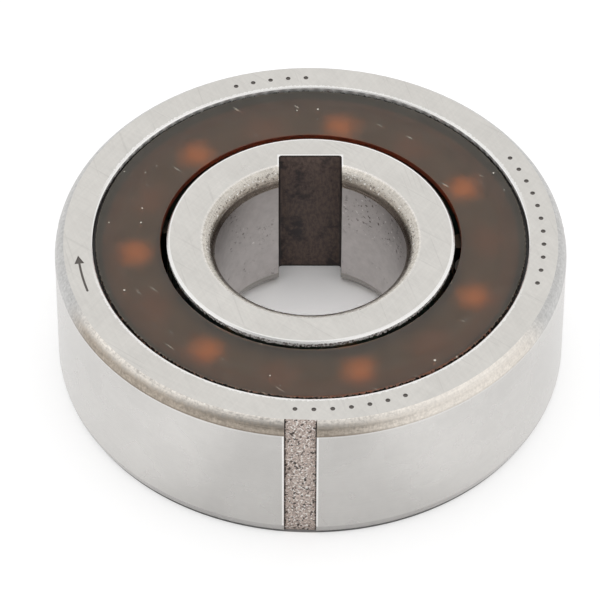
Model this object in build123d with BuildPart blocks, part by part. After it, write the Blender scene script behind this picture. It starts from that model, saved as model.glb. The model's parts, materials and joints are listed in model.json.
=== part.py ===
from build123d import *
import os
from math import asin, cos, degrees, radians, sin, sqrt

# A bearing-type one-way clutch: two keyed rings with seven balls that carry the load,
# seven pairs of sprags that lock one way, a two-piece cage, two garter springs and two
# shields. The origin is on the axis at the bottom faces of the rings, with Z along the axis.
# The clutch is drawn locked: the sprags stand against both races.

os.makedirs("parts", exist_ok=True)

# Rings, from the bore outward
bore_diameter = 12.0
inner_ring_wall = 3.0           # from the bore to the inner race
race_gap = 4.0                  # between the two races that the sprags grip
outer_ring_wall = 3.0           # from the outer race to the outside, 32 mm across
ring_width = 10.0               # both rings, face to face
outer_corner_width = 0.55       # rounding of the outer ring's outer edges, along the face
outer_corner_height = 0.95      # and along the outside
bore_corner_width = 0.9         # rounding at both ends of the bore, along the face
bore_corner_height = 1.15       # and along the bore
corner_arc_radius = 1.2         # of both roundings, which meet the faces at an edge
inner_edge_break = 0.1          # chamfer of the inner ring's outer edges
face_edge_break = 0.06          # chamfer where the outer ring's faces meet the shield seats

# Keyways
outer_key_width = 2.0
outer_key_depth = 0.6
outer_key_angle = -90.0
inner_key_width = 4.0
inner_key_depth = 1.4
inner_key_corner = 0.2
inner_key_angle = 92.5          # where the inner ring stands while it is locked

# Balls and their grooves
ball_sink = 0.38125             # how far a ball reaches past each race, for balls of 4.7625 mm
ball_gap = 0.03                 # between a ball and the bottom of its groove
groove_relief = 0.07            # groove radius less ball radius
first_ball_angle = 30.8

# Sprags
sprag_head_width = 1.5          # flank to flank at the outer race
sprag_foot_width = 1.2          # flank to flank at the inner race
sprag_waist_width = 0.9
sprag_waist_radius = 1.3
sprag_edge_radius = 0.08
outer_cam_radius = 1.2
inner_cam_radius = 0.9
cam_offset = 0.14               # each cam's centre to the side of the sprag's middle
sprag_race_gap = 0.03           # between a cam and its race
sprag_end_gap = 0.1             # between a sprag's end and the cage's end wall
sprag_side_gap = 0.19           # between a sprag's flank and its window, room to tilt

# Garter springs
spring_diameter = 0.5
spring_sink = 0.15              # from the outside of the cage to the spring
spring_gap = 0.1                # around the spring, in the cage and in the sprags
spring_inset = 0.05             # from a sprag's end to the spring

# Cage
cage_inner_gap = 0.6            # to the inner race
cage_outer_gap = 0.3            # to the outer race
cage_end_gap = 0.3              # to the shields
cage_end_wall = 0.6             # over the ends of the sprags
cage_corner_radius = 0.15
pocket_gap = 0.08               # between a ball and its pocket
ball_web = 0.27                 # least wall between a pocket and a window
pair_web = 0.5                  # wall between the two windows of a pair, at the cage's bore
grease_well_diameter = 1.8      # blind bore that rises from each pocket
grease_well_roof = 0.45
cage_pin_diameter = 0.5
cage_pin_height = 0.6
cage_pin_gap = 0.02
cage_pin_wall = 0.25            # from a pin to the outside of the cage

# Shields
shield_recess = 0.1             # below the faces of the rings
shield_thickness = 0.6
shield_bore_gap = 0.4           # to the inner ring
shield_rim_gap = 0.2            # to the outer ring
shield_edge_radius = 0.1
shield_seat_step = 0.65         # seat radius less outer race radius
shield_lip_thickness = 0.28
snap_groove_depth = 0.2
snap_gap = 0.05                 # around the lip in its groove

# Marks on the outer ring's upper face
mark_depth = 0.04
mark_edge_distance = 1.45       # from the outside of the ring to the middle of the marks
arrow_line_width = 0.14
arrow_tail_angle = -159.3
arrow_head_angle = -168.8       # where the head starts
arrow_head_length = 0.7
arrow_head_width = 0.62
dot_diameter = 0.3
dot_spacing_angle = 4.5
dot_rows = ((102.5, 5), (9.5, 11), (-78.0, 7))      # middle angle, number of dots

# Sizes that follow
bore_radius = bore_diameter / 2
inner_race_radius = bore_radius + inner_ring_wall
outer_race_radius = inner_race_radius + race_gap
outer_radius = outer_race_radius + outer_ring_wall
pitch_radius = inner_race_radius + race_gap / 2
middle = ring_width / 2
mark_radius = outer_radius - mark_edge_distance

ball_radius = race_gap / 2 + ball_sink
groove_radius = ball_radius + groove_relief
outer_groove_centre = pitch_radius + ball_radius + ball_gap - groove_radius
inner_groove_centre = pitch_radius - ball_radius - ball_gap + groove_radius

shield_seat_depth = shield_recess + shield_thickness
shield_seat_radius = outer_race_radius + shield_seat_step
snap_groove_radius = shield_seat_radius + snap_groove_depth
snap_groove_height = shield_lip_thickness + snap_gap
shield_bore_radius = inner_race_radius + shield_bore_gap
shield_rim_radius = shield_seat_radius - shield_rim_gap
shield_lip_radius = snap_groove_radius - snap_gap

cage_inner_radius = inner_race_radius + cage_inner_gap
cage_outer_radius = outer_race_radius - cage_outer_gap
cage_half_height = middle - shield_seat_depth - cage_end_gap
window_half_length = cage_half_height - cage_end_wall
pocket_radius = ball_radius + pocket_gap
cage_pin_circle = cage_outer_radius - cage_pin_wall - cage_pin_diameter / 2

sprag_half_length = window_half_length - sprag_end_gap
spring_height = sprag_half_length - spring_inset - spring_diameter / 2
spring_ring_radius = cage_outer_radius - spring_sink - spring_diameter / 2
spring_floor_radius = spring_ring_radius - spring_diameter / 2 - spring_gap
spring_channel_height = spring_diameter + 2 * spring_gap
sprag_notch_depth = spring_inset + spring_diameter + spring_gap

outer_cam_circle = outer_race_radius - sprag_race_gap - outer_cam_radius
inner_cam_circle = inner_race_radius + sprag_race_gap + inner_cam_radius
outer_cam_centre = (sqrt(outer_cam_circle**2 - cam_offset**2) - pitch_radius, cam_offset)
inner_cam_centre = (sqrt(inner_cam_circle**2 - cam_offset**2) - pitch_radius, -cam_offset)


def sprag_half_width(from_pitch):
    """Half the width between a sprag's flanks, at a distance outward from the pitch circle."""
    share = 0.5 + from_pitch / race_gap
    return (sprag_foot_width + share * (sprag_head_width - sprag_foot_width)) / 2


# A pair of sprags stands midway between two balls, as close as the cage's walls allow.
pair_half_chord = sprag_half_width(cage_inner_radius - pitch_radius) + sprag_side_gap + pair_web / 2
sprag_offset_angle = degrees(asin(pair_half_chord / cage_inner_radius))
ball_to_sprag_chord = pocket_radius + ball_web + sprag_half_width(0) + sprag_side_gap
ball_to_sprag_angle = degrees(asin(ball_to_sprag_chord / pitch_radius))
ball_count = int(180 / (ball_to_sprag_angle + sprag_offset_angle))
ball_spacing_angle = 360 / ball_count
first_pair_angle = first_ball_angle + ball_spacing_angle / 2


def plane_at(angle, radius, height):
    """A level plane whose X axis points outward from the clutch's axis."""
    outward = Vector(cos(radians(angle)), sin(radians(angle)), 0)
    return Plane(origin=outward * radius + Vector(0, 0, height), x_dir=outward, z_dir=(0, 0, 1))


def flank_outline(side_gap):
    """Corners between the two races that taper as a sprag's flanks do."""
    half_gap = race_gap / 2
    foot = sprag_half_width(-half_gap) + side_gap
    head = sprag_half_width(half_gap) + side_gap
    return (-half_gap, -foot), (half_gap, -head), (half_gap, head), (-half_gap, foot)


def save(piece, name):
    piece.part.label = name
    export_step(piece.part, f"parts/{name}.step")


# Outer ring: race, ball groove, a shield seat with its snap groove at each end, and a keyway
with BuildPart() as outer_ring:
    with BuildSketch(Plane.XZ) as outer_ring_section:
        with Locations((outer_race_radius, 0)):
            Rectangle(outer_radius - outer_race_radius, ring_width, align=(Align.MIN, Align.MIN))
        for face_height, wall_height in (
            (0, outer_corner_height),
            (ring_width, ring_width - outer_corner_height),
        ):
            on_face = (outer_radius - outer_corner_width, face_height)
            on_wall = (outer_radius, wall_height)
            with BuildLine():
                Polyline(on_face, (outer_radius, face_height), on_wall)
                bulge = corner_arc_radius if face_height > 0 else -corner_arc_radius
                RadiusArc(on_face, on_wall, bulge)
            make_face(mode=Mode.SUBTRACT)
        with Locations((outer_race_radius, 0), (outer_race_radius, ring_width)):
            Rectangle(2 * shield_seat_step, 2 * shield_seat_depth, mode=Mode.SUBTRACT)
        face_corners = outer_ring_section.vertices().filter_by_position(
            Axis.X, shield_seat_radius - snap_gap, shield_seat_radius + snap_gap
        )
        chamfer(face_corners.sort_by(Axis.Y)[0], face_edge_break)
        chamfer(face_corners.sort_by(Axis.Y)[-1], face_edge_break)
        lower_snap = shield_seat_depth - snap_groove_height / 2
        with Locations((shield_seat_radius, lower_snap), (shield_seat_radius, ring_width - lower_snap)):
            Rectangle(2 * snap_groove_depth, snap_groove_height, mode=Mode.SUBTRACT)
        with Locations((outer_groove_centre, middle)):
            Circle(groove_radius, mode=Mode.SUBTRACT)
    revolve(axis=Axis.Z)
    with BuildSketch(Plane.XY) as outer_key_section:
        with PolarLocations(outer_radius, 1, start_angle=outer_key_angle):
            Rectangle(2 * outer_key_depth, outer_key_width)
    extrude(amount=ring_width, mode=Mode.SUBTRACT)
    # an arrow that shows the free direction of the inner ring, and rows of dots
    with BuildSketch(Plane.XY.offset(ring_width)) as face_marks:
        arrow_sweep = arrow_tail_angle - arrow_head_angle
        SlotArc(CenterArc((0, 0), mark_radius, arrow_head_angle, arrow_sweep), arrow_line_width)
        with PolarLocations(mark_radius, 1, start_angle=arrow_head_angle):
            half_head = arrow_head_width / 2
            Polygon((-half_head, 0), (half_head, 0), (0, -arrow_head_length), align=None)
        for row_angle, dot_count in dot_rows:
            row_start = row_angle - dot_spacing_angle * (dot_count - 1) / 2
            for dot in range(dot_count):
                with PolarLocations(mark_radius, 1, start_angle=row_start + dot * dot_spacing_angle):
                    Circle(dot_diameter / 2)
    extrude(amount=-mark_depth, mode=Mode.SUBTRACT)
save(outer_ring, "outer_ring")

# Inner ring: race, ball groove, rounded bore and a keyway
with BuildPart() as inner_ring:
    with BuildSketch(Plane.XZ) as inner_ring_section:
        with Locations((bore_radius, 0)):
            Rectangle(inner_race_radius - bore_radius, ring_width, align=(Align.MIN, Align.MIN))
        for face_height, wall_height in (
            (0, bore_corner_height),
            (ring_width, ring_width - bore_corner_height),
        ):
            on_face = (bore_radius + bore_corner_width, face_height)
            on_wall = (bore_radius, wall_height)
            with BuildLine():
                Polyline(on_face, (bore_radius, face_height), on_wall)
                bulge = corner_arc_radius if face_height == 0 else -corner_arc_radius
                RadiusArc(on_face, on_wall, bulge)
            make_face(mode=Mode.SUBTRACT)
        chamfer(inner_ring_section.vertices().group_by(Axis.X)[-1], inner_edge_break)
        with Locations((inner_groove_centre, middle)):
            Circle(groove_radius, mode=Mode.SUBTRACT)
    revolve(axis=Axis.Z)
    with BuildSketch(Plane.XY) as inner_key_section:
        with PolarLocations(0, 1, start_angle=inner_key_angle):
            Rectangle(
                bore_radius + inner_key_depth, inner_key_width, align=(Align.MIN, Align.CENTER)
            )
        fillet(inner_key_section.vertices().sort_by(SortBy.DISTANCE)[-2:], inner_key_corner)
    extrude(amount=ring_width, mode=Mode.SUBTRACT)
save(inner_ring, "inner_ring")

# Shields: flat rings whose lips snap into the outer ring
for shield_name, seat_height, facing in (
    ("shield_lower", shield_seat_depth, -1),
    ("shield_upper", ring_width - shield_seat_depth, 1),
):
    seat_plane = Plane(origin=(0, 0, seat_height), x_dir=(1, 0, 0), z_dir=(0, -facing, 0))
    with BuildPart() as shield:
        with BuildSketch(seat_plane) as shield_section:
            with Locations((shield_bore_radius, 0)):
                Rectangle(
                    shield_rim_radius - shield_bore_radius,
                    shield_thickness,
                    align=(Align.MIN, Align.MIN),
                )
            fillet(shield_section.vertices().group_by(Axis.Y)[-1], shield_edge_radius)
            with Locations((shield_bore_radius + 2 * shield_edge_radius, 0)):
                Rectangle(
                    shield_lip_radius - shield_bore_radius - 2 * shield_edge_radius,
                    shield_lip_thickness,
                    align=(Align.MIN, Align.MIN),
                )
        revolve(axis=Axis.Z)
    save(shield, shield_name)

# Cage: two moulded halves that meet at the middle, pinned together
for half_name, facing in (("cage_lower", -1), ("cage_upper", 1)):
    with BuildPart() as cage_half:
        with BuildSketch(Plane.XY.offset(middle)):
            Circle(cage_outer_radius)
            Circle(cage_inner_radius, mode=Mode.SUBTRACT)
        extrude(amount=facing * cage_half_height)
        end_face = cage_half.faces().sort_by(Axis.Z)[-1 if facing > 0 else 0]
        fillet(end_face.edges(), cage_corner_radius)
        # ball pockets, each with a blind grease well that leaves a thin roof over the ball
        with Locations(Plane.XY.offset(middle)):
            with PolarLocations(pitch_radius, ball_count, start_angle=first_ball_angle):
                Sphere(pocket_radius, mode=Mode.SUBTRACT)
        with BuildSketch(Plane.XY.offset(middle)):
            with PolarLocations(pitch_radius, ball_count, start_angle=first_ball_angle):
                Circle(grease_well_diameter / 2)
        extrude(amount=facing * (cage_half_height - grease_well_roof), mode=Mode.SUBTRACT)
        # sprag windows
        with BuildSketch(Plane.XY.offset(middle)):
            for side in (-1, 1):
                window_angle = first_pair_angle + side * sprag_offset_angle
                with PolarLocations(pitch_radius, ball_count, start_angle=window_angle):
                    Polygon(*flank_outline(sprag_side_gap), align=None)
        extrude(amount=facing * window_half_length, mode=Mode.SUBTRACT)
        # channel for the garter spring, open to the outside
        channel_bottom = middle + facing * spring_height - spring_channel_height / 2
        with BuildSketch(Plane.XY.offset(channel_bottom)):
            Circle(outer_race_radius)
            Circle(spring_floor_radius, mode=Mode.SUBTRACT)
        extrude(amount=spring_channel_height, mode=Mode.SUBTRACT)
        # pins of the lower half stand in sockets of the upper half
        socket_gap = cage_pin_gap if facing > 0 else 0
        with BuildSketch(Plane.XY.offset(middle)):
            with PolarLocations(cage_pin_circle, ball_count, start_angle=first_pair_angle):
                Circle(cage_pin_diameter / 2 + socket_gap)
        extrude(
            amount=cage_pin_height + socket_gap,
            mode=Mode.SUBTRACT if facing > 0 else Mode.ADD,
        )
    save(cage_half, half_name)

# Balls
for number in range(ball_count):
    ball_angle = first_ball_angle + number * ball_spacing_angle
    with BuildPart() as ball:
        with Locations(plane_at(ball_angle, pitch_radius, middle)):
            Sphere(ball_radius)
    save(ball, f"ball_{number + 1}")

# Sprags: two cams with offset centres, a waist, and a notch at each end for a garter spring
for number in range(2 * ball_count):
    pair = number // 2
    side = 1 if number % 2 else -1
    sprag_angle = first_pair_angle + pair * ball_spacing_angle + side * sprag_offset_angle
    with BuildPart() as sprag:
        with BuildSketch(plane_at(sprag_angle, pitch_radius, middle)) as sprag_profile:
            with Locations(outer_cam_centre):
                Circle(outer_cam_radius)
            with Locations(inner_cam_centre):
                Circle(inner_cam_radius)
            with Locations((inner_cam_centre[0], 0)):
                Rectangle(
                    outer_cam_centre[0] - inner_cam_centre[0],
                    sprag_head_width,
                    align=(Align.MIN, Align.CENTER),
                )
            Polygon(*flank_outline(0), align=None, mode=Mode.INTERSECT)
            waist_centre = sprag_waist_width / 2 + sprag_waist_radius
            with Locations((0, -waist_centre), (0, waist_centre)):
                Circle(sprag_waist_radius, mode=Mode.SUBTRACT)
            fillet(sprag_profile.vertices(), sprag_edge_radius)
        extrude(amount=sprag_half_length, both=True)
        notch_floor = spring_floor_radius - pitch_radius
        for end_height in (middle - sprag_half_length, middle + sprag_half_length - sprag_notch_depth):
            with BuildSketch(plane_at(sprag_angle, pitch_radius, end_height)):
                with Locations((notch_floor, 0)):
                    Rectangle(race_gap, 2 * sprag_head_width, align=(Align.MIN, Align.CENTER))
            extrude(amount=sprag_notch_depth, mode=Mode.SUBTRACT)
    save(sprag, f"sprag_{number + 1:02d}")

# Garter springs, as closed rings of the coil's outer size
for spring_name, facing in (("garter_spring_lower", -1), ("garter_spring_upper", 1)):
    with BuildPart() as garter_spring:
        with BuildSketch(Plane.XZ):
            with Locations((spring_ring_radius, middle + facing * spring_height)):
                Circle(spring_diameter / 2)
        revolve(axis=Axis.Z)
    save(garter_spring, spring_name)

print("balls", ball_count, "spacing", round(ball_spacing_angle, 3), "pitch radius", pitch_radius)
print("sprag offset angle", round(sprag_offset_angle, 3))
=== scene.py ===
import json
import math
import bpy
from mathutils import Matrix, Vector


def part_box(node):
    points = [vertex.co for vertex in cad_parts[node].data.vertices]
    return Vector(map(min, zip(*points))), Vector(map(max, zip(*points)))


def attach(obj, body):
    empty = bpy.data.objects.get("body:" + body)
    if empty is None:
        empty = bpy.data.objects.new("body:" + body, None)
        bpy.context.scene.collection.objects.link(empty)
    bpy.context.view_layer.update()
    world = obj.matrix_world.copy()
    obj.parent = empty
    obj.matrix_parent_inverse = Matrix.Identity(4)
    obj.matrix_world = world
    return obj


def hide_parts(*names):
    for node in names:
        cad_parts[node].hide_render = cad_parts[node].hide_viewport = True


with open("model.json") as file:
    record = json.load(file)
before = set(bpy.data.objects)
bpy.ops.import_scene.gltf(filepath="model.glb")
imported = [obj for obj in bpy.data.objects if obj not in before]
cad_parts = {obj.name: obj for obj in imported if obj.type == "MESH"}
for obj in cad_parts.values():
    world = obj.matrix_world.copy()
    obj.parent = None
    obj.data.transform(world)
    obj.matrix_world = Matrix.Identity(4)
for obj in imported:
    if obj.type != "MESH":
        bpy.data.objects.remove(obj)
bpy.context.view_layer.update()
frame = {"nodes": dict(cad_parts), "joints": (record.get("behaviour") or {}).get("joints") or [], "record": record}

from types import SimpleNamespace
import bmesh
import bpy
from mathutils import Matrix, Vector

mm = 0.001
nodes = frame["nodes"]
joints = {joint["name"]: joint for joint in frame["joints"]}
mounts = {mount["name"]: mount for mount in frame["record"]["mounts"]}
print("frame loaded:", len(nodes), "nodes")

# sizes in millimetres that the finishes follow, read from the frame
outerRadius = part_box("outer_ring")[1].x / mm
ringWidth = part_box("outer_ring")[1].z / mm
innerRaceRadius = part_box("inner_ring")[1].x / mm
boreRadius = mounts["bore"]["dims"]["r_mm"]
boreStraight = mounts["bore"]["dims"]["length_mm"] / 2
outsideStraight = mounts["outer_diameter"]["dims"]["length_mm"] / 2
outerKey = Vector(mounts["outer_keyway"]["pos_m"]) / mm
innerKey = Vector(mounts["inner_keyway"]["pos_m"]) / mm
innerKeyAngle = math.atan2(innerKey.y, innerKey.x)
innerKeyReach = math.hypot(innerKey.x, innerKey.y)
ballPlace = Vector(joints["ball_1_spin"]["pos_m"]) / mm
pitchRadius = math.hypot(ballPlace.x, ballPlace.y)
firstBallAngle = math.atan2(ballPlace.y, ballPlace.x)
ballCount = sum(name.startswith("ball_") for name in nodes)
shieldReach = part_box("shield_upper")[1].z / mm - ringWidth / 2  # from the middle of the width

# limits that several finishes share
faceSlope = (0.98, 0.995)  # the normal's share along the axis, from which a surface is a face
wallSlope = (0.5, 0.3)  # and below which it is a wall
upperPart = (2.0, 3.0)  # heights between which the finish of the upper side sets in
usualNoise = (0.3, 0.7)  # nearly all of a noise lies between these
middleNoise = (0.35, 0.65)
soft = 0.02  # width of a mask's border
crisp = 0.01
bumpDepth = 0.02


# short calls for building a node tree: an input takes a number, a colour or another node's output
def newTree(name):
    material = bpy.data.materials.new(name)
    material.use_nodes = True
    material.node_tree.nodes.clear()
    return material, material.node_tree


def plug(tree, socket, value):
    if isinstance(value, bpy.types.NodeSocket):
        tree.links.new(value, socket)
    elif isinstance(value, (tuple, list)) and socket.type == "RGBA" and len(value) == 3:
        socket.default_value = (*value, 1.0)
    else:
        socket.default_value = value


def put(tree, kind, inputs=None, **settings):
    node = tree.nodes.new("ShaderNode" + kind)
    for name, value in settings.items():
        setattr(node, name, value)
    for name, value in (inputs or {}).items():
        plug(tree, node.inputs[name], value)
    return node


def calc(tree, operation, *values):
    node = put(tree, "Math", operation=operation)
    for index, value in enumerate(values):
        plug(tree, node.inputs[index], value)
    return node.outputs[0]


def times(tree, first, second):
    return calc(tree, "MULTIPLY", first, second)


def fade(tree, value, low, high):  # 0 at low and 1 at high, smooth between
    inputs = {"Value": value, "From Min": low, "From Max": high}
    return put(tree, "MapRange", inputs, interpolation_type="SMOOTHSTEP").outputs["Result"]


def scaleTo(tree, value, low, high, toLow, toHigh):
    inputs = {"Value": value, "From Min": low, "From Max": high, "To Min": toLow, "To Max": toHigh}
    return put(tree, "MapRange", inputs).outputs["Result"]


def vary(tree, field, low, high):  # a noise stretched to run from low to high
    return scaleTo(tree, field, *usualNoise, low, high)


def wander(tree, value, field, amount):  # a value moved up and down by a noise
    return calc(tree, "MULTIPLY_ADD", calc(tree, "SUBTRACT", field, 0.5), amount, value)


def band(tree, value, low, high, border):  # 1 between low and high
    return times(tree, fade(tree, value, low - border, low), fade(tree, value, high + border, high))


def both(tree, *masks):
    result = masks[0]
    for mask in masks[1:]:
        result = times(tree, result, mask)
    return result


def either(tree, first, second):
    return calc(tree, "MAXIMUM", first, second)


def without(tree, mask, other):
    return times(tree, mask, calc(tree, "SUBTRACT", 1.0, other))


def blend(tree, factor, first, second):
    node = put(tree, "Mix", data_type="RGBA")
    plug(tree, node.inputs["Factor"], factor)
    plug(tree, node.inputs["A"], first)
    plug(tree, node.inputs["B"], second)
    return node.outputs["Result"]


def blendValue(tree, factor, first, second):
    node = put(tree, "Mix", data_type="FLOAT")
    for name, value in (("Factor", factor), ("A", first), ("B", second)):
        plug(tree, next(s for s in node.inputs if s.name == name and s.type == "VALUE"), value)
    return node.outputs["Result"]


def shade(tree, colour, tone):  # a colour made lighter or darker
    node = put(tree, "VectorMath", operation="SCALE")
    plug(tree, node.inputs[0], colour)
    plug(tree, node.inputs["Scale"], tone)
    return node.outputs["Vector"]


def places(tree, turn=0.0, scale=(1, 1, 1)):  # object coordinates in millimetres, turned about the axis
    spot = put(tree, "TexCoord").outputs["Object"]
    if turn:
        spot = put(tree, "Mapping", {"Vector": spot, "Rotation": (0, 0, -turn)}).outputs["Vector"]
    return put(tree, "Mapping", {"Vector": spot, "Scale": tuple(s / mm for s in scale)}).outputs["Vector"]


def noise(tree, vector, scale, detail=3.0, rough=0.55):
    inputs = {"Vector": vector, "Scale": scale, "Detail": detail, "Roughness": rough}
    return put(tree, "TexNoise", inputs).outputs["Fac"]


def axes(tree, vector):
    return put(tree, "SeparateXYZ", {"Vector": vector}).outputs


def point(tree, x, y, z):
    return put(tree, "CombineXYZ", {"X": x, "Y": y, "Z": z}).outputs[0]


def facing(tree, axis):  # the share of the normal along an axis, either way
    return calc(tree, "ABSOLUTE", axes(tree, put(tree, "TexCoord").outputs["Normal"])[axis])


def axisDistance(tree, x, y):
    return calc(tree, "SQRT", calc(tree, "ADD", times(tree, x, x), times(tree, y, y)))


def middleDistance(tree, z):
    return calc(tree, "ABSOLUTE", calc(tree, "SUBTRACT", z, ringWidth / 2))


def finish(material, tree, shader, volume=None):
    output = put(tree, "OutputMaterial")
    tree.links.new(shader, output.inputs["Surface"])
    if volume is not None:
        tree.links.new(volume, output.inputs["Volume"])
    return material


def dress(material, *names):
    for name in names:
        for index in range(len(nodes[name].material_slots)):
            nodes[name].material_slots[index].material = material


# bearing steel: ground faces with crossing lines, ground walls with lines round them,
# darker turned corners with painted reflection and shade, and painted highlights on small broken edges
steelLook = {
    "face": (0.70, 0.68, 0.645),
    "wall": (0.645, 0.63, 0.61),
    "cornerLine": (0.20, 0.165, 0.13),
    "brokenEdge": (0.95, 0.94, 0.92),
    "faceRough": 0.3,
    "wallRough": 0.27,
    "edgeRough": 0.2,
    "roughSpread": 0.12,
    "lineAngles": (0.42, 1.0, -0.55),
    "lineScale": (5.0, 0.2, 1.0),
    "lineSpread": (0.2, 0.8),
    "lineTone": (0.955, 1.04),
    "scratchAngles": (0.95, 0.3),
    "scratchScale": (5.0, 0.12, 1.0),
    "scratchFrom": (0.66, 0.72),
    "scratchTone": 0.93,
    "turnedPerMm": 11.0,
    "turnedDrift": 0.3,
    "wallTone": (0.985, 1.015),
    "cornerTone": (0.9, 1.07),
    "streakDown": 0.03,
    "cleanShare": 0.75,
    "cleanToneShare": 0.75,
    "cleanTone": 1.03,
    "sideToneShare": 0.5,
    "mottleScale": 1.6,
    "mottleTone": (0.98, 1.015),
    "cloudScale": 0.35,
    "cloudTone": (0.97, 1.03),
    "pitScale": 6.0,
    "edgeWidth": 0.16,
    "edgeFlat": (0.98, 0.95),
    "edgeSteep": (0.2, 0.3),
    "cornerWander": 0.14,
    "cornerLineFrom": (0.17, 0.07),
    "cornerLineShare": 0.6,
    "rimShare": 0.8,
}


def groundSteel(tree, look, own, straight, cornerFrom, cornerTo, rimFrom, rimTo):
    spot = places(tree)
    x, y, z = axes(tree, spot)
    radius = axisDistance(tree, x, y)
    fromMiddle = middleDistance(tree, z)
    slope = facing(tree, 2)
    upper = fade(tree, z, *upperPart)
    face = fade(tree, slope, *faceSlope)
    corner = both(
        tree,
        band(tree, radius, cornerFrom, cornerTo, crisp),
        fade(tree, fromMiddle, straight, straight + soft),
        fade(tree, slope, *reversed(faceSlope)),
    )
    edgeStart = ringWidth / 2 - look["edgeWidth"]
    edge = both(
        tree,
        fade(tree, fromMiddle, edgeStart, edgeStart + soft),
        fade(tree, slope, *look["edgeFlat"]),
        fade(tree, slope, *look["edgeSteep"]),
    )
    edge = without(tree, edge, corner)
    # grinding lines cross on the faces, and a few scratches stand out from them
    lines = 0.0
    for angle in look["lineAngles"]:
        layer = noise(tree, places(tree, angle, look["lineScale"]), 1.0, 2.0, 0.6)
        lines = calc(tree, "ADD", lines, vary(tree, layer, 0.0, 1.0))
    lines = calc(tree, "DIVIDE", lines, len(look["lineAngles"]))
    scratches = 0.0
    for angle in look["scratchAngles"]:
        layer = noise(tree, places(tree, angle, look["scratchScale"]), 1.0, 1.0, 0.5)
        scratches = either(tree, scratches, fade(tree, layer, *look["scratchFrom"]))
    drift, fine = look["turnedDrift"], look["turnedPerMm"]
    stretched = point(tree, times(tree, x, drift), times(tree, y, drift), times(tree, z, fine))
    inputs = {"Vector": stretched, "W": times(tree, radius, fine), "Scale": 1.0, "Detail": 3.0}
    around = put(tree, "TexNoise", inputs, noise_dimensions="4D").outputs["Fac"]
    pits = noise(tree, spot, look["pitScale"], 3.0, 0.6)
    clouds = noise(tree, spot, look["cloudScale"], 2.0, 0.5)
    mottle = noise(tree, spot, look["mottleScale"], 4.0, 0.65)
    # short marks run down the corners, the same at every radius
    outwards = (calc(tree, "DIVIDE", x, radius), calc(tree, "DIVIDE", y, radius))
    streakPlace = point(tree, *outwards, times(tree, z, look["streakDown"]))
    streaks = noise(tree, streakPlace, own["streakScale"], 3.0, 0.7)
    mottleTone = vary(tree, mottle, *look["mottleTone"])
    faceTone = times(tree, scaleTo(tree, lines, *look["lineSpread"], *look["lineTone"]), mottleTone)
    faceTone = times(tree, faceTone, scaleTo(tree, scratches, 0, 1, 1.0, look["scratchTone"]))
    wallTone = times(tree, vary(tree, around, *look["wallTone"]), mottleTone)
    colour = blend(tree, face, shade(tree, look["wall"], wallTone), shade(tree, look["face"], faceTone))
    # the outer ring's corner carries painted reflection: brown in front, lighter with a painted highlight on one
    # side of that, and grey further round
    litFront = fade(tree, y, *own["wornFrom"]) if own["wornFrom"] else 1.0
    sideHighlight = 0.0
    if own["cleanSide"]:
        sideHighlight = times(tree, fade(tree, x, *own["cleanSide"]), look["cleanShare"])
    ends = fade(tree, calc(tree, "ABSOLUTE", y), *own["rimEnds"]) if own["rimEnds"] else 1.0
    cornerTone = vary(tree, around, *look["cornerTone"])
    cornerTone = times(tree, cornerTone, scaleTo(tree, streaks, *middleNoise, *own["streakTone"]))
    cornerTone = times(tree, cornerTone, scaleTo(tree, pits, *middleNoise, *own["pitTone"]))
    cleanTone = both(tree, litFront, times(tree, sideHighlight, look["cleanToneShare"]))
    cornerTone = blendValue(tree, cleanTone, cornerTone, look["cleanTone"])
    sideTone = blendValue(tree, look["sideToneShare"], cornerTone, 1.0)
    cornerTone = blendValue(tree, litFront, sideTone, cornerTone)
    cornerTone = blendValue(tree, upper, 1.0, cornerTone)
    # it is lighter by the face as a painted reflection and darker by the wall as painted shade, with an uneven
    # border
    fromFace = calc(tree, "SUBTRACT", ringWidth / 2, fromMiddle)
    downCorner = calc(tree, "DIVIDE", fromFace, ringWidth / 2 - straight)
    reach = look["cornerWander"]
    uneven = vary(tree, times(tree, calc(tree, "ADD", pits, streaks), 0.5), -reach, reach)
    uneven = calc(tree, "ADD", downCorner, uneven)
    cornerLow = blend(tree, sideHighlight, own["cornerLow"], own["cornerTop"])
    cornerColour = blend(tree, fade(tree, uneven, *own["cornerTurn"]), own["cornerTop"], cornerLow)
    if own["wornFrom"]:
        cornerColour = blend(tree, litFront, own["sideCorner"], cornerColour)
    cornerColour = blend(tree, upper, own["lowerCorner"], cornerColour)
    colour = blend(tree, corner, colour, shade(tree, cornerColour, cornerTone))
    # a painted shade line along the corner in front, left off the side with the painted highlight
    lineFrom, lineTo = look["cornerLineFrom"]
    cornerLine = both(tree, corner, fade(tree, fromMiddle, straight + lineFrom, straight + lineTo), upper)
    cornerLine = both(tree, without(tree, cornerLine, sideHighlight), litFront)
    colour = blend(tree, times(tree, cornerLine, look["cornerLineShare"]), colour, look["cornerLine"])
    ragged = wander(tree, radius, pits, own["rimWander"])
    rim = both(tree, face, band(tree, ragged, rimFrom, rimTo, soft), ends)
    # painted highlights on the broken edges, and on a rim of the face
    shiny = either(tree, edge, times(tree, rim, look["rimShare"]))
    colour = blend(tree, shiny, colour, look["brokenEdge"])
    colour = shade(tree, colour, vary(tree, clouds, *look["cloudTone"]))
    rough = blendValue(tree, face, look["wallRough"], look["faceRough"])
    rough = blendValue(tree, corner, rough, own["cornerRough"])
    rough = blendValue(tree, edge, rough, look["edgeRough"])
    rough = wander(tree, rough, clouds, look["roughSpread"])
    height = blendValue(tree, face, around, lines)
    height = blendValue(tree, corner, height, calc(tree, "ADD", around, pits))
    return SimpleNamespace(
        spot=spot, x=x, y=y, z=z, radius=radius, fromMiddle=fromMiddle, slope=slope, upper=upper,
        corner=corner, downCorner=downCorner, ends=ends, pits=pits, mottle=mottle,
        colour=colour, rough=rough, height=height,
    )


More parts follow.
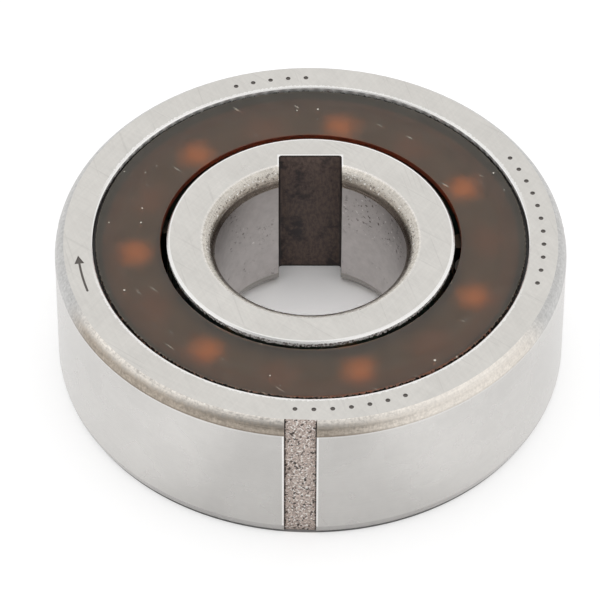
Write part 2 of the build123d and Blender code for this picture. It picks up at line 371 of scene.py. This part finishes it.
def steelShader(tree, colour, rough, height, strength, metal=1.0):
    bump = put(tree, "Bump", {"Height": height, "Strength": strength, "Distance": bumpDepth * mm})
    inputs = {"Base Color": colour, "Metallic": metal, "Roughness": rough, "Normal": bump.outputs["Normal"]}
    return put(tree, "BsdfPrincipled", inputs).outputs["BSDF"]


outerRingLook = {
    "cornerWidth": 0.55,
    "cornerTop": (0.88, 0.83, 0.765),
    "cornerLow": (0.42, 0.365, 0.305),
    "cornerTurn": (0.05, 0.5),
    "lowerCorner": (0.56, 0.545, 0.53),
    "sideCorner": (0.57, 0.565, 0.555),
    "cornerRough": 0.34,
    "cornerBump": 1.0,
    "streakScale": 55.0,
    "streakTone": (0.88, 1.1),
    "pitTone": (0.76, 1.18),
    "cleanSide": (1.0, 9.0),
    "wornFrom": (-5.5, -9.0),
    "rimEnds": (2.0, 6.0),
    "rimWidth": 0.13,
    "rimWander": 0.4,
    "bump": 0.15,
    "faceInset": 2.3,
    "markMargin": 0.1,
    "markDepth": 0.3,
    "markColour": (0.17, 0.155, 0.145),
    "markRough": 0.6,
    "brightLine": (1.0, 0.99, 0.97),
    "brightFrom": (0.16, 0.08),
    "brightShare": 0.2,
    "brightBeside": (0.13, 0.09),
    "slotHalfWidth": 1.0,
    "slotLight": (0.74, 0.63, 0.57),
    "slotDark": (0.40, 0.325, 0.285),
    "slotGlint": (1.0, 0.97, 0.94),
    "slotSpeck": (0.03, 0.022, 0.018),
    "slotLine": (0.03, 0.022, 0.018),
    "slotLineWidth": 0.07,
    "slotLineWander": 0.5,
    "slotRough": 0.55,
    "slotMetal": 0.45,
    "slotBump": 0.9,
    "grainScale": 8.0,
    "sandFrom": (0.42, 0.56),
    "speckScale": 6.0,
    "speckFrom": (0.62, 0.66),
    "glintScale": 6.5,
    "glintFrom": (0.43, 0.39),
    "spotShare": 0.9,
    "seatBright": (0.95, 0.94, 0.91),
    "seatGrey": (0.30, 0.295, 0.285),
    "seatShadow": (0.02, 0.018, 0.016),
    "seatRough": 0.5,
    "seatDepth": 0.36,
    "seatHeight": 0.6,
    "seatWander": 0.5,
}


def outerRingMaterial(look):
    material, tree = newTree("groundSteelOuter")
    seat = outerRadius - look["faceInset"]
    cornerStart = outerRadius - look["cornerWidth"]
    steel = groundSteel(
        tree, steelLook, look, outsideStraight, cornerFrom=cornerStart - soft, cornerTo=outerRadius + 0.1,
        rimFrom=seat, rimTo=seat + look["rimWidth"],
    )
    # the marks are cut a little below the face
    margin = look["markMargin"]
    marks = both(
        tree,
        band(tree, steel.z, ringWidth - look["markDepth"], ringWidth - 0.02, crisp),
        band(tree, steel.radius, seat + margin, cornerStart - margin, crisp),
    )
    colour = blend(tree, marks, steel.colour, look["markColour"])
    rough = blendValue(tree, marks, steel.rough, look["markRough"])
    # the ground outside starts with a painted highlight line below the upper corner, and beside the keyway
    sideways = calc(tree, "ABSOLUTE", steel.x)
    outside = both(
        tree,
        fade(tree, steel.radius, outerRadius - 0.03, outerRadius - 0.01),
        fade(tree, steel.fromMiddle, outsideStraight, outsideStraight - soft),
    )
    besideFrom, besideTo = look["brightBeside"]
    besideSlot = both(
        tree,
        fade(tree, sideways, look["slotHalfWidth"] + besideFrom, look["slotHalfWidth"] + besideTo),
        fade(tree, steel.y, outerKey.y, outerKey.y - 0.1),
    )
    belowFrom, belowTo = look["brightFrom"]
    belowCorner = fade(tree, steel.fromMiddle, outsideStraight - belowFrom, outsideStraight - belowTo)
    belowCorner = times(tree, both(tree, belowCorner, steel.upper), look["brightShare"])
    bright = both(tree, outside, either(tree, belowCorner, besideSlot))
    colour = blend(tree, bright, colour, look["brightLine"])
    # the keyway's floor is sandy and speckled, with painted glints among the specks and a painted shade line along
    # each side
    inSlot = both(
        tree,
        fade(tree, sideways, look["slotHalfWidth"] + 0.02, look["slotHalfWidth"] + 0.01),
        fade(tree, steel.radius, outerRadius - 0.02, outerRadius - 0.03),
        fade(tree, steel.y, outerKey.y + 0.15, outerKey.y + 0.05),
        fade(tree, steel.slope, 0.1, 0.05),
    )
    grain = noise(tree, steel.spot, look["grainScale"], 3.0, 0.8)
    sand = fade(tree, grain, *look["sandFrom"])
    specks = fade(tree, noise(tree, steel.spot, look["speckScale"], 1.0, 0.5), *look["speckFrom"])
    glints = fade(tree, noise(tree, steel.spot, look["glintScale"], 1.0, 0.5), *look["glintFrom"])
    slotColour = blend(tree, sand, look["slotDark"], look["slotLight"])
    slotColour = blend(tree, times(tree, glints, look["spotShare"]), slotColour, look["slotGlint"])
    slotColour = blend(tree, times(tree, specks, look["spotShare"]), slotColour, look["slotSpeck"])
    lineStart = look["slotHalfWidth"] - look["slotLineWidth"]
    wavering = wander(tree, sideways, grain, look["slotLineWander"])
    onFloor = fade(tree, facing(tree, 1), 0.5, 0.9)
    line = both(tree, fade(tree, wavering, lineStart - 0.03, lineStart), onFloor)
    slotColour = blend(tree, line, slotColour, look["slotLine"])
    colour = blend(tree, inSlot, colour, slotColour)
    rough = blendValue(tree, inSlot, rough, look["slotRough"])
    metal = blendValue(tree, inSlot, 1.0, look["slotMetal"])
    # the shield's seat carries a painted highlight, grey at the sides, down to an uneven line, and painted shadow
    # below it
    seatStart = ringWidth / 2 - look["seatHeight"]
    inSeat = both(
        tree,
        band(tree, steel.radius, seat - 0.05, seat + 0.03, crisp),
        fade(tree, steel.slope, *wallSlope),
        fade(tree, steel.fromMiddle, seatStart, seatStart + 0.05),
    )
    uneven = wander(tree, steel.fromMiddle, steel.pits, look["seatWander"])
    litFrom = ringWidth / 2 - look["seatDepth"]
    lit = fade(tree, uneven, litFrom, litFrom + 0.04)
    seatColour = blend(tree, steel.ends, look["seatGrey"], look["seatBright"])
    colour = blend(tree, inSeat, colour, blend(tree, lit, look["seatShadow"], seatColour))
    rough = blendValue(tree, inSeat, rough, look["seatRough"])
    metal = blendValue(tree, inSeat, metal, 0.0)
    height = blendValue(tree, inSlot, steel.height, grain)
    strength = blendValue(tree, steel.corner, look["bump"], look["cornerBump"])
    strength = blendValue(tree, inSlot, strength, look["slotBump"])
    return finish(material, tree, steelShader(tree, colour, rough, height, strength, metal))


innerRingLook = {
    "cornerWidth": 0.9,
    "cornerTop": (0.66, 0.62, 0.56),
    "cornerLow": (0.42, 0.37, 0.315),
    "cornerTurn": (0.12, 0.5),
    "lowerCorner": (0.36, 0.34, 0.32),
    "cornerRough": 0.26,
    "cornerBump": 1.0,
    "streakScale": 28.0,
    "streakTone": (0.90, 1.08),
    "pitTone": (0.82, 1.12),
    "cleanSide": None,
    "wornFrom": None,
    "rimEnds": None,
    "rimWidth": 0.09,
    "rimWander": 0.05,
    "bump": 0.15,
    "cornerEdge": (0.95, 0.93, 0.90),
    "cornerEdgeShare": 0.5,
    "lipBright": (0.95, 0.94, 0.91),
    "lipGrey": (0.17, 0.145, 0.13),
    "lipGreyFrom": (0.40, 0.55),
    "lipDepth": 0.36,
    "lipWander": 0.4,
    "boreColour": (0.525, 0.495, 0.485),
    "boreTone": (0.9, 1.08),
    "boreRough": 0.36,
    "boreSpeck": (0.14, 0.12, 0.11),
    "borePitScale": 3.8,
    "boreDarkFrom": (0.60, 0.68),
    "boreBrightFrom": (0.35, 0.29),
    "patchScale": 0.45,
    "patchFrom": (0.46, 0.66),
    "patchShare": 0.7,
    "pittedAside": (1.8, 3.5),
    "pittedAbove": (4.5, 7.0),
    "cornerPitScale": 6.0,
    "cornerPitZone": (0.25, 0.5, 0.22),
    "cornerDarkFrom": (0.56, 0.64),
    "cornerBrightFrom": (0.38, 0.32),
    "pitDark": (0.10, 0.085, 0.075),
    "pitDarkShare": 0.8,
    "pitBright": (1.0, 0.98, 0.95),
    "pitBrightShare": 0.7,
    "keyHalfWidth": 2.0,
    "keyFloor": (0.168, 0.112, 0.090),
    "keyStreak": (0.098, 0.067, 0.056),
    "keyStreakScale": (5.0, 5.0, 2.2),
    "keyStreakFrom": (0.42, 0.60),
    "keyStain": (0.034, 0.022, 0.023),
    "keyStainScale": 0.75,
    "keyStainFrom": (0.47, 0.64),
    "keyLine": (0.02, 0.015, 0.013),
    "keyLineWidth": 0.12,
    "keyLineShare": 0.8,
    "keyRough": 0.5,
    "keyBump": 0.6,
    "edgeWidth": 0.09,
    "edgeColour": (0.95, 0.94, 0.92),
}


def innerRingMaterial(look):
    material, tree = newTree("groundSteelInner")
    steel = groundSteel(
        tree, steelLook, look, boreStraight,
        cornerFrom=boreRadius - 0.1, cornerTo=boreRadius + look["cornerWidth"] + soft,
        rimFrom=innerRaceRadius - 0.1 - look["rimWidth"], rimTo=innerRaceRadius,
    )
    # the bore is duller, with dark specks that are thickest in one place, and painted glints among them
    inBore = both(
        tree,
        fade(tree, steel.radius, boreRadius + 0.06, boreRadius + 0.02),
        fade(tree, steel.fromMiddle, boreStraight + soft, boreStraight),
    )
    patches = noise(tree, steel.spot, look["patchScale"], 2.0, 0.5)
    patchy = times(tree, fade(tree, patches, *look["patchFrom"]), look["patchShare"])
    pitted = both(tree, fade(tree, steel.x, *look["pittedAside"]), fade(tree, steel.z, *look["pittedAbove"]))
    patchy = either(tree, patchy, pitted)
    pitField = noise(tree, steel.spot, look["borePitScale"], 2.0, 0.6)
    specks = both(tree, fade(tree, pitField, *look["boreDarkFrom"]), patchy)
    shines = both(tree, fade(tree, pitField, *look["boreBrightFrom"]), patchy)
    boreColour = shade(tree, look["boreColour"], vary(tree, steel.mottle, *look["boreTone"]))
    boreColour = blend(tree, specks, boreColour, look["boreSpeck"])
    boreColour = blend(tree, times(tree, shines, look["pitBrightShare"]), boreColour, look["pitBright"])
    colour = blend(tree, inBore, steel.colour, boreColour)
    rough = blendValue(tree, inBore, steel.rough, look["boreRough"])
    # its upper corner is pitted, with painted glints among the pits, and a painted highlight where it meets the
    # face
    upperCorner = both(tree, steel.corner, steel.upper)
    pitField = noise(tree, steel.spot, look["cornerPitScale"], 2.0, 0.6)
    pitZone = both(tree, upperCorner, band(tree, steel.downCorner, *look["cornerPitZone"]))
    dark = both(tree, pitZone, fade(tree, pitField, *look["cornerDarkFrom"]), look["pitDarkShare"])
    glints = both(tree, pitZone, fade(tree, pitField, *look["cornerBrightFrom"]), look["pitBrightShare"])
    colour = blend(tree, dark, colour, look["pitDark"])
    colour = blend(tree, glints, colour, look["pitBright"])
    firstEdge = both(tree, upperCorner, fade(tree, steel.downCorner, 0.05, 0.02))
    colour = blend(tree, times(tree, firstEdge, look["cornerEdgeShare"]), colour, look["cornerEdge"])
    # the wall beside the shield carries a painted highlight, patched with grey, down to an uneven line
    uneven = wander(tree, steel.fromMiddle, steel.pits, look["lipWander"])
    lipStart = ringWidth / 2 - look["lipDepth"]
    onLip = both(
        tree,
        fade(tree, steel.radius, innerRaceRadius - 0.04, innerRaceRadius - 0.02),
        fade(tree, steel.slope, *wallSlope),
        fade(tree, uneven, lipStart, lipStart + 0.04),
    )
    lipColour = blend(tree, fade(tree, steel.pits, *look["lipGreyFrom"]), look["lipGrey"], look["lipBright"])
    colour = blend(tree, onLip, colour, lipColour)
    # the keyway, in coordinates turned so that it lies along x
    out, side, _ = axes(tree, places(tree, innerKeyAngle))
    side = calc(tree, "ABSOLUTE", side)
    halfWidth = look["keyHalfWidth"]
    inKey = both(
        tree,
        fade(tree, out, boreRadius - 0.65, boreRadius - 0.55),
        fade(tree, out, innerKeyReach + 0.04, innerKeyReach + 0.02),
        fade(tree, side, halfWidth + 0.02, halfWidth + 0.01),
        fade(tree, steel.slope, *wallSlope),
    )
    besideKey = both(
        tree,
        fade(tree, side, halfWidth - 0.01, halfWidth - 0.02),
        either(tree, inBore, steel.corner),
    )
    inKey = without(tree, inKey, besideKey)
    streaks = noise(tree, places(tree, innerKeyAngle, look["keyStreakScale"]), 1.0, 4.0, 0.7)
    stains = noise(tree, steel.spot, look["keyStainScale"], 4.0, 0.7)
    keyColour = blend(tree, fade(tree, streaks, *look["keyStreakFrom"]), look["keyFloor"], look["keyStreak"])
    keyColour = blend(tree, fade(tree, stains, *look["keyStainFrom"]), keyColour, look["keyStain"])
    sideLine = halfWidth - look["keyLineWidth"]
    line = either(
        tree,
        fade(tree, side, sideLine - 0.05, sideLine + 0.05),
        fade(tree, steel.fromMiddle, ringWidth / 2 - 0.2, ringWidth / 2 - 0.1),
    )
    keyColour = blend(tree, times(tree, line, look["keyLineShare"]), keyColour, look["keyLine"])
    colour = blend(tree, inKey, colour, keyColour)
    rough = blendValue(tree, inKey, rough, look["keyRough"])
    metal = blendValue(tree, either(tree, inKey, onLip), 1.0, 0.0)
    # the keyway's edge on the faces carries a painted highlight
    sideEnd = halfWidth + look["edgeWidth"]
    outEnd = innerKeyReach + look["edgeWidth"]
    edge = both(
        tree,
        fade(tree, side, sideEnd + soft, sideEnd - soft),
        fade(tree, out, outEnd + soft, outEnd - soft),
        fade(tree, out, boreRadius - 0.4, boreRadius),
        fade(tree, steel.slope, 0.9, 0.95),
    )
    colour = blend(tree, edge, colour, look["edgeColour"])
    height = blendValue(tree, inKey, steel.height, streaks)
    strength = blendValue(tree, steel.corner, look["bump"], look["cornerBump"])
    strength = blendValue(tree, inKey, strength, look["keyBump"])
    return finish(material, tree, steelShader(tree, colour, rough, height, strength, metal))


dress(outerRingMaterial(outerRingLook), "outer_ring")
dress(innerRingMaterial(innerRingLook), "inner_ring")
print("rings dressed")

# translucent brown shields, with a film of dust, single grains of it and fine scratches
shieldLook = {
    "tint": (0.83, 0.83, 0.69),
    "rough": 0.25,
    "roughSpread": 0.14,
    "ior": 1.42,
    "absorb": (0.88, 0.42, 0.11),
    "density": 1500.0,
    "holeEdge": (0.16, 0.085, 0.075),
    "darkEdge": (0.01, 0.007, 0.006),
    "edgeDark": 0.45,
    "edgeFade": 0.15,
    "rimInset": 2.5,
    "rimTint": (0.72, 0.62, 0.48),
    "rimShare": 0.07,
    "rimStart": 2.0,
    "rimScale": 5.0,
    "rimWander": 0.25,
    "filmShare": 0.046,
    "filmTone": (0.8, 1.2),
    "hazeScale": 0.8,
    "hazeBump": 0.2,
    "dust": (0.80, 0.76, 0.66),
    "dustShare": 0.85,
    "grainsPerMm": 1.5,
    "grainShare": 0.04,
    "grainSize": (0.04, 0.16),
    "grainMiddle": 0.6,
    "hairAngle": 0.9,
    "hairScale": (7.0, 0.5, 1.0),
    "hairFrom": (0.715, 0.75),
    "hairShare": 0.5,
    "hairPatchScale": 0.5,
    "hairPatchFrom": (0.5, 0.6),
}


def shieldMaterial(look):
    material, tree = newTree("translucentShield")
    spot = places(tree)
    inputs = {"Vector": spot, "Scale": look["grainsPerMm"]}
    cells = put(tree, "TexVoronoi", inputs, feature="F1", voronoi_dimensions="2D").outputs
    chance = put(tree, "SeparateColor", {"Color": cells["Color"]}).outputs
    size = scaleTo(tree, chance["Green"], 0, 1, *look["grainSize"])
    grains = both(
        tree,
        fade(tree, cells["Distance"], size, times(tree, size, look["grainMiddle"])),
        fade(tree, chance["Red"], 1 - look["grainShare"], 1.005 - look["grainShare"]),
    )
    hairField = noise(tree, places(tree, look["hairAngle"], look["hairScale"]), 1.0, 1.0, 0.5)
    hairPatches = noise(tree, spot, look["hairPatchScale"], 1.0, 0.5)
    hairs = both(
        tree,
        fade(tree, hairField, *look["hairFrom"]),
        fade(tree, hairPatches, *look["hairPatchFrom"]),
    )
    grains = either(tree, grains, times(tree, hairs, look["hairShare"]))
    haze = noise(tree, spot, look["hazeScale"], 4.0, 0.6)
    rough = calc(tree, "MULTIPLY_ADD", haze, look["roughSpread"], look["rough"])
    x, y, z = axes(tree, spot)
    radius = axisDistance(tree, x, y)
    rim = outerRadius - look["rimInset"]
    nearRim = fade(tree, radius, rim - look["rimStart"], rim - look["rimStart"] / 2)  # cloudier there
    filmShare = blendValue(tree, nearRim, look["filmShare"], look["rimShare"])
    filmShare = times(tree, vary(tree, haze, *look["filmTone"]), filmShare)
    colour = blend(tree, nearRim, look["tint"], look["rimTint"])
    colour = blend(tree, grains, colour, look["dust"])
    # the wall of its hole is darker and redder, the darkness partly painted shade, and painted black as shade
    # further down, like its outer edge
    depth = calc(tree, "SUBTRACT", shieldReach, middleDistance(tree, z))
    hole = both(tree, fade(tree, facing(tree, 2), 0.9, 0.5), fade(tree, radius, rim - 1, rim - 2))
    colour = blend(tree, hole, colour, look["holeEdge"])
    edgeShadeMask = both(tree, hole, fade(tree, depth, look["edgeDark"] - look["edgeFade"], look["edgeDark"]))
    uneven = wander(tree, radius, noise(tree, spot, look["rimScale"]), look["rimWander"])
    edgeShadeMask = either(tree, edgeShadeMask, fade(tree, uneven, rim - 0.1, rim - 0.06))
    colour = blend(tree, edgeShadeMask, colour, look["darkEdge"])
    covered = either(tree, filmShare, times(tree, grains, look["dustShare"]))
    clear = without(tree, calc(tree, "SUBTRACT", 1.0, covered), edgeShadeMask)
    bump = put(tree, "Bump", {"Height": haze, "Strength": look["hazeBump"], "Distance": bumpDepth * mm})
    inputs = {
        "Base Color": colour, "Roughness": rough, "IOR": look["ior"],
        "Transmission Weight": clear, "Normal": bump.outputs["Normal"],
    }
    shader = put(tree, "BsdfPrincipled", inputs).outputs["BSDF"]
    volume = put(tree, "VolumeAbsorption", {"Color": look["absorb"], "Density": look["density"]})
    return finish(material, tree, shader, volume.outputs["Volume"])


# moulded cage: a painted glow over each ball stands in for the balls' highlights under the shield, and a fainter
# painted glow lies over the sprags
cageLook = {
    "dark": (0.007, 0.046, 0.036),
    "darkTone": (0.8, 1.2),
    "ballGlow": (1.0, 0.60, 0.06),
    "glowRadius": 1.7,
    "pairGlow": (0.13, 0.09, 0.05),
    "pairReach": (1.7, 1.2),
    "pairFrom": (1.2, 0.3),
    "mottleScale": 1.2,
    "wander": 1.1,
    "rough": 0.45,
    "grainScale": 9.0,
    "bump": 0.3,
}


def cageMaterial(look):
    material, tree = newTree("mouldedCage")
    spot = places(tree)
    x, y, _ = axes(tree, spot)
    radius = axisDistance(tree, x, y)
    sector = 2 * math.pi / ballCount

    def nearest(startAngle):  # along and across from the nearest of the evenly spaced places
        angle = calc(tree, "SUBTRACT", calc(tree, "ARCTAN2", y, x), startAngle)
        angle = calc(tree, "WRAP", angle, sector / 2, -sector / 2)
        across = times(tree, radius, calc(tree, "SINE", angle))
        along = times(tree, radius, calc(tree, "COSINE", angle))
        return calc(tree, "SUBTRACT", along, pitchRadius), across

    mottle = noise(tree, spot, look["mottleScale"], 3.0, 0.6)
    uneven = wander(tree, 0.0, mottle, look["wander"])
    fromBall = axisDistance(tree, *nearest(firstBallAngle))
    ballGlow = fade(tree, calc(tree, "ADD", fromBall, uneven), look["glowRadius"], 0.0)
    along, across = nearest(firstBallAngle + sector / 2)
    acrossReach, alongReach = look["pairReach"]
    along = calc(tree, "DIVIDE", along, alongReach)
    across = calc(tree, "DIVIDE", across, acrossReach)
    fromPair = calc(tree, "ADD", axisDistance(tree, along, across), uneven)
    pairGlow = fade(tree, fromPair, *look["pairFrom"])
    colour = shade(tree, look["dark"], vary(tree, mottle, *look["darkTone"]))
    colour = blend(tree, pairGlow, colour, look["pairGlow"])
    colour = blend(tree, ballGlow, colour, look["ballGlow"])
    grain = noise(tree, spot, look["grainScale"], 3.0, 0.6)
    bump = put(tree, "Bump", {"Height": grain, "Strength": look["bump"], "Distance": bumpDepth * mm})
    inputs = {"Base Color": colour, "Roughness": look["rough"], "Normal": bump.outputs["Normal"]}
    return finish(material, tree, put(tree, "BsdfPrincipled", inputs).outputs["BSDF"])


dress(shieldMaterial(shieldLook), "shield_lower", "shield_upper")
dress(cageMaterial(cageLook), "cage_lower", "cage_upper")
print("shields and cage dressed")

# the steel pieces inside, with the scale of their fine lines
plainLook = {
    "tone": (0.92, 1.06),
    "cloudScale": 0.6,
    "roughShare": 0.6,
    "bump": 0.2,
}
ballLook = {"colour": (0.48, 0.47, 0.46), "rough": 0.24, "lineScale": (2, 2, 2)}
spragLook = {"colour": (0.055, 0.053, 0.05), "rough": 0.4, "lineScale": (1, 1, 14)}
springLook = {"colour": (0.36, 0.35, 0.34), "rough": 0.3, "lineScale": (8, 8, 8)}


def plainSteel(name, look):
    material, tree = newTree(name)
    grain = noise(tree, places(tree, 0, look["lineScale"]), 1.0, 3.0, 0.6)
    clouds = noise(tree, places(tree), plainLook["cloudScale"], 3.0, 0.6)
    colour = shade(tree, look["colour"], vary(tree, grain, *plainLook["tone"]))
    rough = wander(tree, look["rough"], clouds, look["rough"] * plainLook["roughShare"])
    return finish(material, tree, steelShader(tree, colour, rough, grain, plainLook["bump"]))


dress(plainSteel("polishedBalls", ballLook), *(name for name in nodes if name.startswith("ball_")))
dress(plainSteel("groundSprags", spragLook), *(name for name in nodes if name.startswith("sprag_")))
drawnWire = plainSteel("drawnWire", springLook)
dress(drawnWire, "garter_spring_lower", "garter_spring_upper")
print("inside pieces dressed")

# garter springs: one turn is spun, doubled into a straight coil, and bent into a closed ring
coilLook = {
    "wire": 0.11,
    "doublings": 9,
    "stepsPerTurn": 10,
    "wireSides": 6,
}


def makeCoil(name, node, look):
    low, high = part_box(node)
    coilRadius = (high.z - low.z) / 2
    ringRadius = high.x - coilRadius
    wireRadius = look["wire"] * mm / 2
    turns = 2 ** look["doublings"]
    pitch = 2 * math.pi * ringRadius / turns
    steps = look["stepsPerTurn"]
    mesh = bpy.data.meshes.new(name)
    bm = bmesh.new()
    wire = bmesh.ops.create_circle(bm, segments=look["wireSides"], radius=wireRadius)["verts"]
    bmesh.ops.rotate(bm, verts=wire, cent=(0, 0, 0), matrix=Matrix.Rotation(math.pi / 2, 3, "Y"))
    bmesh.ops.translate(bm, verts=wire, vec=(0, coilRadius - wireRadius, 0))
    bmesh.ops.spin(
        bm, geom=bm.verts[:] + bm.edges[:], cent=(0, 0, 0), axis=(1, 0, 0),
        dvec=(pitch / steps, 0, 0), angle=2 * math.pi, steps=steps,
    )
    for doubling in range(look["doublings"]):
        copied = bmesh.ops.duplicate(bm, geom=bm.verts[:] + bm.edges[:] + bm.faces[:])["geom"]
        moved = [item for item in copied if isinstance(item, bmesh.types.BMVert)]
        bmesh.ops.translate(bm, verts=moved, vec=(pitch * 2**doubling, 0, 0))
    middleHeight = (low.z + high.z) / 2
    for vert in bm.verts:
        along, across, height = vert.co
        turn = along / ringRadius
        reach = ringRadius + across
        vert.co = (reach * math.cos(turn), reach * math.sin(turn), middleHeight + height)
    bmesh.ops.remove_doubles(bm, verts=bm.verts[:], dist=wireRadius * 0.05)
    bmesh.ops.recalc_face_normals(bm, faces=bm.faces[:])
    for polygon in bm.faces:
        polygon.smooth = True
    openEdges = sum(edge.is_boundary for edge in bm.edges)
    print(name, "has", turns, "turns,", len(bm.faces), "faces, open edges:", openEdges)
    bm.to_mesh(mesh)
    bm.free()
    coil = bpy.data.objects.new(name, mesh)
    bpy.context.scene.collection.objects.link(coil)
    mesh.materials.append(drawnWire)
    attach(coil, "cage")
    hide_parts(node)


for end in ("lower", "upper"):
    makeCoil("spring_coil_" + end, "garter_spring_" + end, coilLook)
print("garter springs coiled")

# floor and light
studioLook = {
    "floorReach": 0.9,
    "floor": (0.86, 0.86, 0.86),
    "floorSeen": (1.34, 1.34, 1.34),
    "frontSeen": (0.98, 0.98, 0.98),
    "boreSeen": (1.55, 1.55, 1.55),
    "underSeen": (0.3, 0.3, 0.3),
    "frontFrom": (-3.0, -12.0),
    "frontAside": (14.0, 6.0),
    "besideFrom": (15.0, 19.0),
    "besideShare": 0.4,
    "underStart": 0.1,
    "underInset": 0.4,
    "underBorder": 0.08,
    "floorLift": 0.5,
    "frontLift": 0.15,
    "skyLevel": 0.93,
    "skyOverhead": 0.97,
    "overheadAcross": (0.5, 0.2),
    "overheadFrom": (0.45, 0.65),
    "skyDark": 0.36,
    "darkBelow": (0.85, 0.62),
    "darkFront": (0.05, -0.45),
    "darkRight": (0.55, 0.0),
    "darkLeft": (-0.85, -0.35),
    "softboxPower": 0.2,
    "softboxSize": 0.5,
    "softboxPlace": (-0.1, -0.1, 0.75),
}


def makeFloor(look):
    bpy.ops.mesh.primitive_plane_add(size=look["floorReach"])
    floor = bpy.context.active_object
    floor.name = "floor"
    material, tree = newTree("paleFloor")
    rays = put(tree, "LightPath").outputs
    seen = either(tree, rays["Is Glossy Ray"], rays["Is Transmission Ray"])
    seen = either(tree, rays["Is Camera Ray"], seen)
    white = put(tree, "Emission", {"Color": (1, 1, 1), "Strength": 1.0}).outputs["Emission"]
    # darker in the bore, where the white lift is left out; a painted shadow close under the rings; and painted
    # shade where the steel mirrors the floor in front and beside it
    x, y, _ = axes(tree, places(tree))
    radius = axisDistance(tree, x, y)
    sideways = calc(tree, "ABSOLUTE", x)
    keyCorner = math.hypot(innerKeyReach, innerRingLook["keyHalfWidth"])
    underFrom = keyCorner + look["underStart"]
    inBore = fade(tree, radius, underFrom, keyCorner)
    under = band(tree, radius, underFrom, outerRadius - look["underInset"], look["underBorder"])
    inFront = both(tree, fade(tree, y, *look["frontFrom"]), fade(tree, sideways, *look["frontAside"]))
    beside = times(tree, fade(tree, sideways, *look["besideFrom"]), look["besideShare"])
    shadedMirror = both(tree, rays["Is Glossy Ray"], either(tree, inFront, beside))
    colour = blend(tree, shadedMirror, look["floorSeen"], look["frontSeen"])
    colour = blend(tree, inBore, colour, look["boreSeen"])
    colour = blend(tree, under, colour, look["underSeen"])
    colour = blend(tree, seen, look["floor"], colour)
    diffuse = put(tree, "BsdfDiffuse", {"Color": colour}).outputs["BSDF"]
    lift = blendValue(tree, shadedMirror, look["floorLift"], look["frontLift"])
    lift = without(tree, lift, either(tree, inBore, under))
    mixed = put(tree, "MixShader", {"Fac": times(tree, seen, lift)})
    tree.links.new(diffuse, mixed.inputs[1])
    tree.links.new(white, mixed.inputs[2])
    floor.data.materials.append(finish(material, tree, mixed.outputs["Shader"]))


def makeLight(look):
    world = bpy.data.worlds.new("studio")
    bpy.context.scene.world = world
    world.use_nodes = True
    tree = world.node_tree
    tree.nodes.clear()
    x, y, z = axes(tree, put(tree, "TexCoord").outputs["Generated"])
    dark = both(
        tree,
        fade(tree, z, *look["darkBelow"]),
        fade(tree, y, *look["darkFront"]),
        fade(tree, x, *look["darkRight"]),
        fade(tree, x, *look["darkLeft"]),
    )
    across = fade(tree, calc(tree, "ABSOLUTE", y), *look["overheadAcross"])
    overhead = both(tree, across, fade(tree, z, *look["overheadFrom"]))
    level = blendValue(tree, overhead, look["skyLevel"], look["skyOverhead"])
    level = blendValue(tree, dark, level, look["skyDark"])
    rays = put(tree, "LightPath").outputs
    level = blendValue(tree, rays["Is Camera Ray"], level, 1.0)
    background = put(tree, "Background", {"Color": (1, 1, 1), "Strength": level})
    output = put(tree, "OutputWorld")
    tree.links.new(background.outputs["Background"], output.inputs["Surface"])
    softbox = bpy.data.lights.new("softbox", "AREA")
    softbox.size = look["softboxSize"]
    softbox.energy = look["softboxPower"]
    lamp = bpy.data.objects.new("softbox", softbox)
    bpy.context.scene.collection.objects.link(lamp)
    lamp.location = look["softboxPlace"]
    lamp.rotation_euler = (-lamp.location).to_track_quat("-Z", "Y").to_euler()


cameraLook = {
    "azimuth": math.radians(2.2),
    "elevation": math.radians(45.97),
    "roll": math.radians(0.2),
    "distance": 0.3277,
    "aside": -0.00066,
    "above": -0.00037,
    "lens": 311.5,
    "sensorWidth": 36,
    "nearest": 0.01,
}


def makeCamera(look):
    azimuth, elevation = look["azimuth"], look["elevation"]
    level = Vector((math.sin(azimuth), -math.cos(azimuth), 0))
    back = level * math.cos(elevation) + Vector((0, 0, math.sin(elevation)))
    right = Vector((math.cos(azimuth), math.sin(azimuth), 0))
    up = back.cross(right)
    turn = Matrix.Rotation(look["roll"], 3, back)
    right, up = turn @ right, turn @ up
    data = bpy.data.cameras.new("camera")
    data.lens = look["lens"]
    data.sensor_width = look["sensorWidth"]
    data.clip_start = look["nearest"]
    camera = bpy.data.objects.new("camera", data)
    bpy.context.scene.collection.objects.link(camera)
    middle = Vector((0, 0, ringWidth * mm / 2))
    place = middle + back * look["distance"] + right * look["aside"] + up * look["above"]
    turned = Matrix((right, up, back)).transposed().to_4x4()
    camera.matrix_world = Matrix.Translation(place) @ turned
    bpy.context.scene.camera = camera


makeFloor(studioLook)
makeLight(studioLook)
makeCamera(cameraLook)
bpy.context.scene.view_settings.view_transform = "Standard"
print("floor, light and camera placed")
